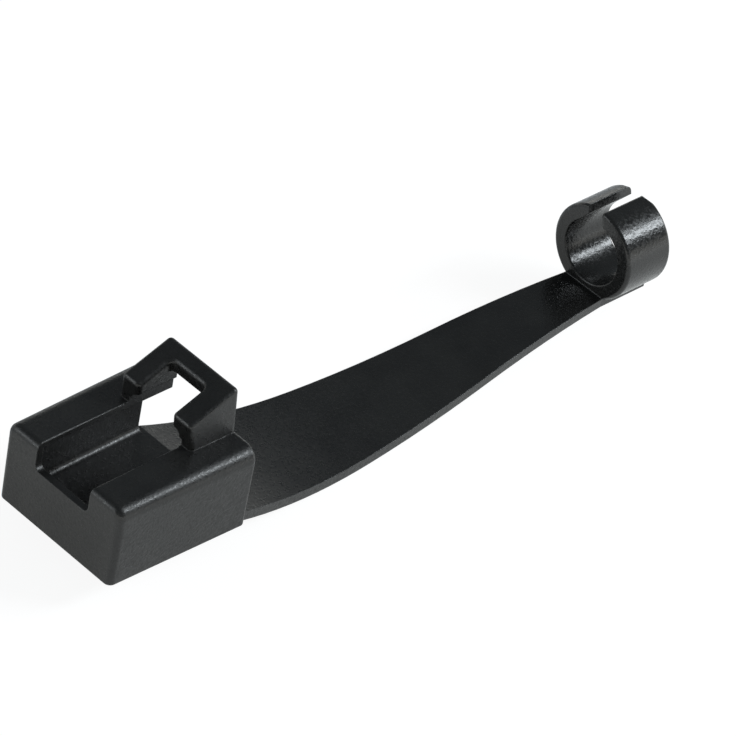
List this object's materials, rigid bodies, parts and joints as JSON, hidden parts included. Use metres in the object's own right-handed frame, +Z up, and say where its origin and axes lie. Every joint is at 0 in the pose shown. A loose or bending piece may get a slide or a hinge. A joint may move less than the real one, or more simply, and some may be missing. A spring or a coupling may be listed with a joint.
{
  "type": "ethernet dust cap",
  "caption": "Moulded dust cap for a network cord's plug: an open-topped hood with a raised latch guard, on a curved, tapering strap that ends in an open clip ring.",
  "frame": {"origin": "under the middle of the length, at the level of the strap's lowest line", "axes": "+X along the plug's axis from the hood's closed nose to the clip, +Y to the left, +Z up, with the guard on top"},
  "size_m": [0.0676, 0.0144, 0.015],
  "materials": {
    "black_plastic": "black moulded plastic, satin with a fine grain"
  },
  "bodies": {
    "root": {"dust_cap": "black_plastic"}
  },
  "joints": []
}
